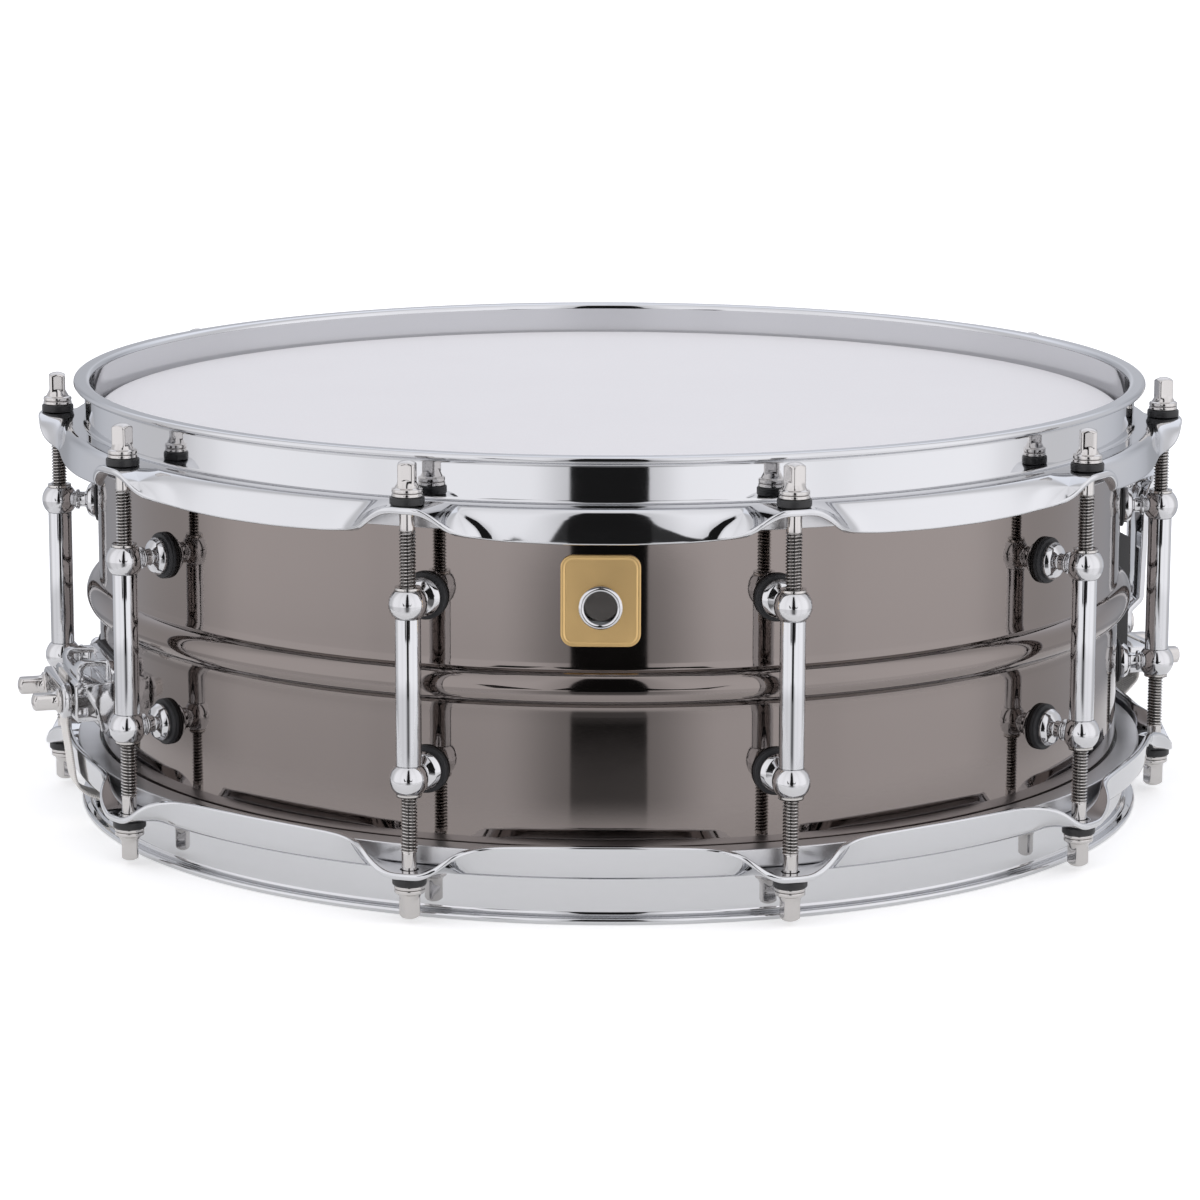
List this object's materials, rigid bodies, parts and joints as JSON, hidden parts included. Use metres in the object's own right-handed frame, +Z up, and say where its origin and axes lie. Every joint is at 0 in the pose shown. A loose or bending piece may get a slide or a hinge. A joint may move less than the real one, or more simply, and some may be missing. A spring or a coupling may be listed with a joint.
{
  "type": "snare drum",
  "caption": "Shallow metal-shelled snare drum with tube lugs, flanged hoops, two heads, snare strands, butt plate and a throw-off lever that drops the strands.",
  "frame": {"origin": "on the drum's axis, half way up the shell, at the middle of the centre bead", "axes": "+Z up along the drum's axis, towards the batter head; -Y is the front with the badge and vent; +X is to the right seen from the front"},
  "size_m": [0.4086, 0.3842, 0.1484],
  "materials": {
    "shell_black_nickel": "mirror-polished black nickel plate over brass",
    "chrome_plate": "polished chrome plate",
    "nickel_plate": "bright nickel plate, slightly warm",
    "brass_badge": "satin brass with polished bevel",
    "nylon_black": "satin moulded nylon",
    "rubber_black": "moulded rubber",
    "steel_zinc": "zinc-plated steel",
    "flesh_hoop_aluminium": "satin extruded aluminium",
    "coated_film": "white coated polyester film",
    "clear_film": "thin hazy polyester film",
    "strap_fabric": "woven off-white tape",
    "wire_steel": "bright coiled steel wire",
    "black_enamel": "gloss black enamel over a casting",
    "insert_nickel": "nickel-plated brass"
  },
  "bodies": {
    "shell": {"shell": "shell_black_nickel", "vent_badge": "brass_badge", "vent_grommet": "chrome_plate", "vent_washer": "steel_zinc", "lug_tubes": "chrome_plate", "lug_posts": "chrome_plate", "lug_inserts": "insert_nickel", "lug_gaskets": "rubber_black", "lug_screws": "steel_zinc", "lug_washers": "steel_zinc", "strainer_base": "black_enamel", "strainer_gasket": "rubber_black", "strainer_pivot_screw": "nickel_plate", "butt_base": "chrome_plate", "butt_gasket": "rubber_black", "mount_screws": "steel_zinc", "mount_washers": "steel_zinc"},
    "batter_head": {"batter_hoop": "chrome_plate", "batter_flesh_hoop": "flesh_hoop_aluminium", "batter_film": "coated_film", "batter_metal_washers": "nickel_plate", "batter_nylon_washers": "nylon_black"},
    "snare_head": {"snare_hoop": "chrome_plate", "snare_flesh_hoop": "flesh_hoop_aluminium", "snare_film": "clear_film", "snare_metal_washers": "nickel_plate", "snare_nylon_washers": "nylon_black"},
    "snares": {"snare_wires": "wire_steel", "snare_end_plates": "nickel_plate", "butt_strap": "strap_fabric", "strainer_strap": "strap_fabric"},
    "throw_off": {"throw_off_lever": "chrome_plate"},
    "slider": {"strainer_slider": "steel_zinc"},
    "strainer_clamp": {"strainer_clamp_plate": "chrome_plate"},
    "strainer_clamp_screw_1": {"strainer_clamp_screw_1": "nickel_plate"},
    "strainer_clamp_screw_2": {"strainer_clamp_screw_2": "nickel_plate"},
    "butt_clamp": {"butt_clamp_plate": "chrome_plate"},
    "butt_clamp_screw_1": {"butt_clamp_screw_1": "nickel_plate"},
    "butt_clamp_screw_2": {"butt_clamp_screw_2": "nickel_plate"},
    "tension_knob": {"tension_knob": "chrome_plate"},
    "batter_rod_01": {"batter_rod_01": "nickel_plate"},
    "batter_rod_02": {"batter_rod_02": "nickel_plate"},
    "batter_rod_03": {"batter_rod_03": "nickel_plate"},
    "batter_rod_04": {"batter_rod_04": "nickel_plate"},
    "batter_rod_05": {"batter_rod_05": "nickel_plate"},
    "batter_rod_06": {"batter_rod_06": "nickel_plate"},
    "batter_rod_07": {"batter_rod_07": "nickel_plate"},
    "batter_rod_08": {"batter_rod_08": "nickel_plate"},
    "batter_rod_09": {"batter_rod_09": "nickel_plate"},
    "batter_rod_10": {"batter_rod_10": "nickel_plate"},
    "snare_rod_01": {"snare_rod_01": "nickel_plate"},
    "snare_rod_02": {"snare_rod_02": "nickel_plate"},
    "snare_rod_03": {"snare_rod_03": "nickel_plate"},
    "snare_rod_04": {"snare_rod_04": "nickel_plate"},
    "snare_rod_05": {"snare_rod_05": "nickel_plate"},
    "snare_rod_06": {"snare_rod_06": "nickel_plate"},
    "snare_rod_07": {"snare_rod_07": "nickel_plate"},
    "snare_rod_08": {"snare_rod_08": "nickel_plate"},
    "snare_rod_09": {"snare_rod_09": "nickel_plate"},
    "snare_rod_10": {"snare_rod_10": "nickel_plate"}
  },
  "joints": [
    {"name": "batter_tension", "type": "slide", "parent": "shell", "child": "batter_head", "axis": [0, 0, 1], "range_m": [0, 0.004]},
    {"name": "snare_tension", "type": "slide", "parent": "shell", "child": "snare_head", "axis": [0, 0, -1], "range_m": [0, 0.004]},
    {"name": "batter_rod_01_turn", "type": "hinge", "parent": "batter_head", "child": "batter_rod_01", "pos_m": [0.05949, -0.18308, 0.0629], "axis": [0, 0, 1], "range_deg": [0, 1362.22]},
    {"name": "batter_rod_02_turn", "type": "hinge", "parent": "batter_head", "child": "batter_rod_02", "pos_m": [0.15574, -0.11315, 0.0629], "axis": [0, 0, 1], "range_deg": [0, 1362.22]},
    {"name": "batter_rod_03_turn", "type": "hinge", "parent": "batter_head", "child": "batter_rod_03", "pos_m": [0.1925, 0, 0.0629], "axis": [0, 0, 1], "range_deg": [0, 1362.22]},
    {"name": "batter_rod_04_turn", "type": "hinge", "parent": "batter_head", "child": "batter_rod_04", "pos_m": [0.15574, 0.11315, 0.0629], "axis": [0, 0, 1], "range_deg": [0, 1362.22]},
    {"name": "batter_rod_05_turn", "type": "hinge", "parent": "batter_head", "child": "batter_rod_05", "pos_m": [0.05949, 0.18308, 0.0629], "axis": [0, 0, 1], "range_deg": [0, 1362.22]},
    {"name": "batter_rod_06_turn", "type": "hinge", "parent": "batter_head", "child": "batter_rod_06", "pos_m": [-0.05949, 0.18308, 0.0629], "axis": [0, 0, 1], "range_deg": [0, 1362.22]},
    {"name": "batter_rod_07_turn", "type": "hinge", "parent": "batter_head", "child": "batter_rod_07", "pos_m": [-0.15574, 0.11315, 0.0629], "axis": [0, 0, 1], "range_deg": [0, 1362.22]},
    {"name": "batter_rod_08_turn", "type": "hinge", "parent": "batter_head", "child": "batter_rod_08", "pos_m": [-0.1925, 0, 0.0629], "axis": [0, 0, 1], "range_deg": [0, 1362.22]},
    {"name": "batter_rod_09_turn", "type": "hinge", "parent": "batter_head", "child": "batter_rod_09", "pos_m": [-0.15574, -0.11315, 0.0629], "axis": [0, 0, 1], "range_deg": [0, 1362.22]},
    {"name": "batter_rod_10_turn", "type": "hinge", "parent": "batter_head", "child": "batter_rod_10", "pos_m": [-0.05949, -0.18308, 0.0629], "axis": [0, 0, 1], "range_deg": [0, 1362.22]},
    {"name": "snare_rod_01_turn", "type": "hinge", "parent": "snare_head", "child": "snare_rod_01", "pos_m": [0.05949, -0.18308, -0.0629], "axis": [0, 0, -1], "range_deg": [0, 1362.22]},
    {"name": "snare_rod_02_turn", "type": "hinge", "parent": "snare_head", "child": "snare_rod_02", "pos_m": [0.15574, -0.11315, -0.0629], "axis": [0, 0, -1], "range_deg": [0, 1362.22]},
    {"name": "snare_rod_03_turn", "type": "hinge", "parent": "snare_head", "child": "snare_rod_03", "pos_m": [0.1925, 0, -0.0629], "axis": [0, 0, -1], "range_deg": [0, 1362.22]},
    {"name": "snare_rod_04_turn", "type": "hinge", "parent": "snare_head", "child": "snare_rod_04", "pos_m": [0.15574, 0.11315, -0.0629], "axis": [0, 0, -1], "range_deg": [0, 1362.22]},
    {"name": "snare_rod_05_turn", "type": "hinge", "parent": "snare_head", "child": "snare_rod_05", "pos_m": [0.05949, 0.18308, -0.0629], "axis": [0, 0, -1], "range_deg": [0, 1362.22]},
    {"name": "snare_rod_06_turn", "type": "hinge", "parent": "snare_head", "child": "snare_rod_06", "pos_m": [-0.05949, 0.18308, -0.0629], "axis": [0, 0, -1], "range_deg": [0, 1362.22]},
    {"name": "snare_rod_07_turn", "type": "hinge", "parent": "snare_head", "child": "snare_rod_07", "pos_m": [-0.15574, 0.11315, -0.0629], "axis": [0, 0, -1], "range_deg": [0, 1362.22]},
    {"name": "snare_rod_08_turn", "type": "hinge", "parent": "snare_head", "child": "snare_rod_08", "pos_m": [-0.1925, 0, -0.0629], "axis": [0, 0, -1], "range_deg": [0, 1362.22]},
    {"name": "snare_rod_09_turn", "type": "hinge", "parent": "snare_head", "child": "snare_rod_09", "pos_m": [-0.15574, -0.11315, -0.0629], "axis": [0, 0, -1], "range_deg": [0, 1362.22]},
    {"name": "snare_rod_10_turn", "type": "hinge", "parent": "snare_head", "child": "snare_rod_10", "pos_m": [-0.05949, -0.18308, -0.0629], "axis": [0, 0, -1], "range_deg": [0, 1362.22]},
    {"name": "throw_off_lever", "type": "hinge", "parent": "shell", "child": "throw_off", "pos_m": [0.18831, 0.06119, -0.026], "axis": [0.9511, 0.309, 0], "range_deg": [0, 90]},
    {"name": "slider_drop", "type": "slide", "parent": "shell", "child": "slider", "axis": [0, 0, -1], "range_m": [0, 0.00401]},
    {"name": "snares_drop", "type": "slide", "parent": "snare_head", "child": "snares", "axis": [0, 0, -1], "range_m": [0, 0.00401]},
    {"name": "tension_knob_turn", "type": "hinge", "parent": "shell", "child": "tension_knob", "pos_m": [0.18298, 0.05945, 0.028], "axis": [0, 0, 1], "range_deg": [-720, 720]},
    {"name": "butt_clamp_open", "type": "slide", "parent": "shell", "child": "butt_clamp", "axis": [-0.9511, -0.309, 0], "range_m": [0, 0.0012]},
    {"name": "butt_clamp_screw_1_turn", "type": "hinge", "parent": "butt_clamp", "child": "butt_clamp_screw_1", "pos_m": [-0.18328, -0.07375, -0.028], "axis": [-0.9511, -0.309, 0], "range_deg": [0, 618.14]},
    {"name": "butt_clamp_screw_2_turn", "type": "hinge", "parent": "butt_clamp", "child": "butt_clamp_screw_2", "pos_m": [-0.19162, -0.04807, -0.028], "axis": [-0.9511, -0.309, 0], "range_deg": [0, 618.14]},
    {"name": "strainer_clamp_open", "type": "slide", "parent": "slider", "child": "strainer_clamp", "axis": [0.9511, 0.309, 0], "range_m": [0, 0.0012]},
    {"name": "strainer_clamp_screw_1_turn", "type": "hinge", "parent": "strainer_clamp", "child": "strainer_clamp_screw_1", "pos_m": [0.18994, 0.07591, -0.0366], "axis": [0.9511, 0.309, 0], "range_deg": [0, 618.14]},
    {"name": "strainer_clamp_screw_2_turn", "type": "hinge", "parent": "strainer_clamp", "child": "strainer_clamp_screw_2", "pos_m": [0.19828, 0.05023, -0.0366], "axis": [0.9511, 0.309, 0], "range_deg": [0, 618.14]}
  ],
  "couplings": [
    {"joint": "batter_rod_01_turn", "follows": "batter_tension", "rad_per_m": 5936.9},
    {"joint": "batter_rod_02_turn", "follows": "batter_tension", "rad_per_m": 5936.9},
    {"joint": "batter_rod_03_turn", "follows": "batter_tension", "rad_per_m": 5936.9},
    {"joint": "batter_rod_04_turn", "follows": "batter_tension", "rad_per_m": 5936.9},
    {"joint": "batter_rod_05_turn", "follows": "batter_tension", "rad_per_m": 5936.9},
    {"joint": "batter_rod_06_turn", "follows": "batter_tension", "rad_per_m": 5936.9},
    {"joint": "batter_rod_07_turn", "follows": "batter_tension", "rad_per_m": 5936.9},
    {"joint": "batter_rod_08_turn", "follows": "batter_tension", "rad_per_m": 5936.9},
    {"joint": "batter_rod_09_turn", "follows": "batter_tension", "rad_per_m": 5936.9},
    {"joint": "batter_rod_10_turn", "follows": "batter_tension", "rad_per_m": 5936.9},
    {"joint": "snare_rod_01_turn", "follows": "snare_tension", "rad_per_m": 5936.9},
    {"joint": "snare_rod_02_turn", "follows": "snare_tension", "rad_per_m": 5936.9},
    {"joint": "snare_rod_03_turn", "follows": "snare_tension", "rad_per_m": 5936.9},
    {"joint": "snare_rod_04_turn", "follows": "snare_tension", "rad_per_m": 5936.9},
    {"joint": "snare_rod_05_turn", "follows": "snare_tension", "rad_per_m": 5936.9},
    {"joint": "snare_rod_06_turn", "follows": "snare_tension", "rad_per_m": 5936.9},
    {"joint": "snare_rod_07_turn", "follows": "snare_tension", "rad_per_m": 5936.9},
    {"joint": "snare_rod_08_turn", "follows": "snare_tension", "rad_per_m": 5936.9},
    {"joint": "snare_rod_09_turn", "follows": "snare_tension", "rad_per_m": 5936.9},
    {"joint": "snare_rod_10_turn", "follows": "snare_tension", "rad_per_m": 5936.9},
    {"joint": "slider_drop", "follows": "throw_off_lever", "m_per_rad": 0.0025465},
    {"joint": "snares_drop", "follows": "throw_off_lever", "m_per_rad": 0.0025465},
    {"joint": "butt_clamp_screw_1_turn", "follows": "butt_clamp_open", "rad_per_m": 8976},
    {"joint": "butt_clamp_screw_2_turn", "follows": "butt_clamp_open", "rad_per_m": 8976},
    {"joint": "strainer_clamp_screw_1_turn", "follows": "strainer_clamp_open", "rad_per_m": 8976},
    {"joint": "strainer_clamp_screw_2_turn", "follows": "strainer_clamp_open", "rad_per_m": 8976}
  ]
}
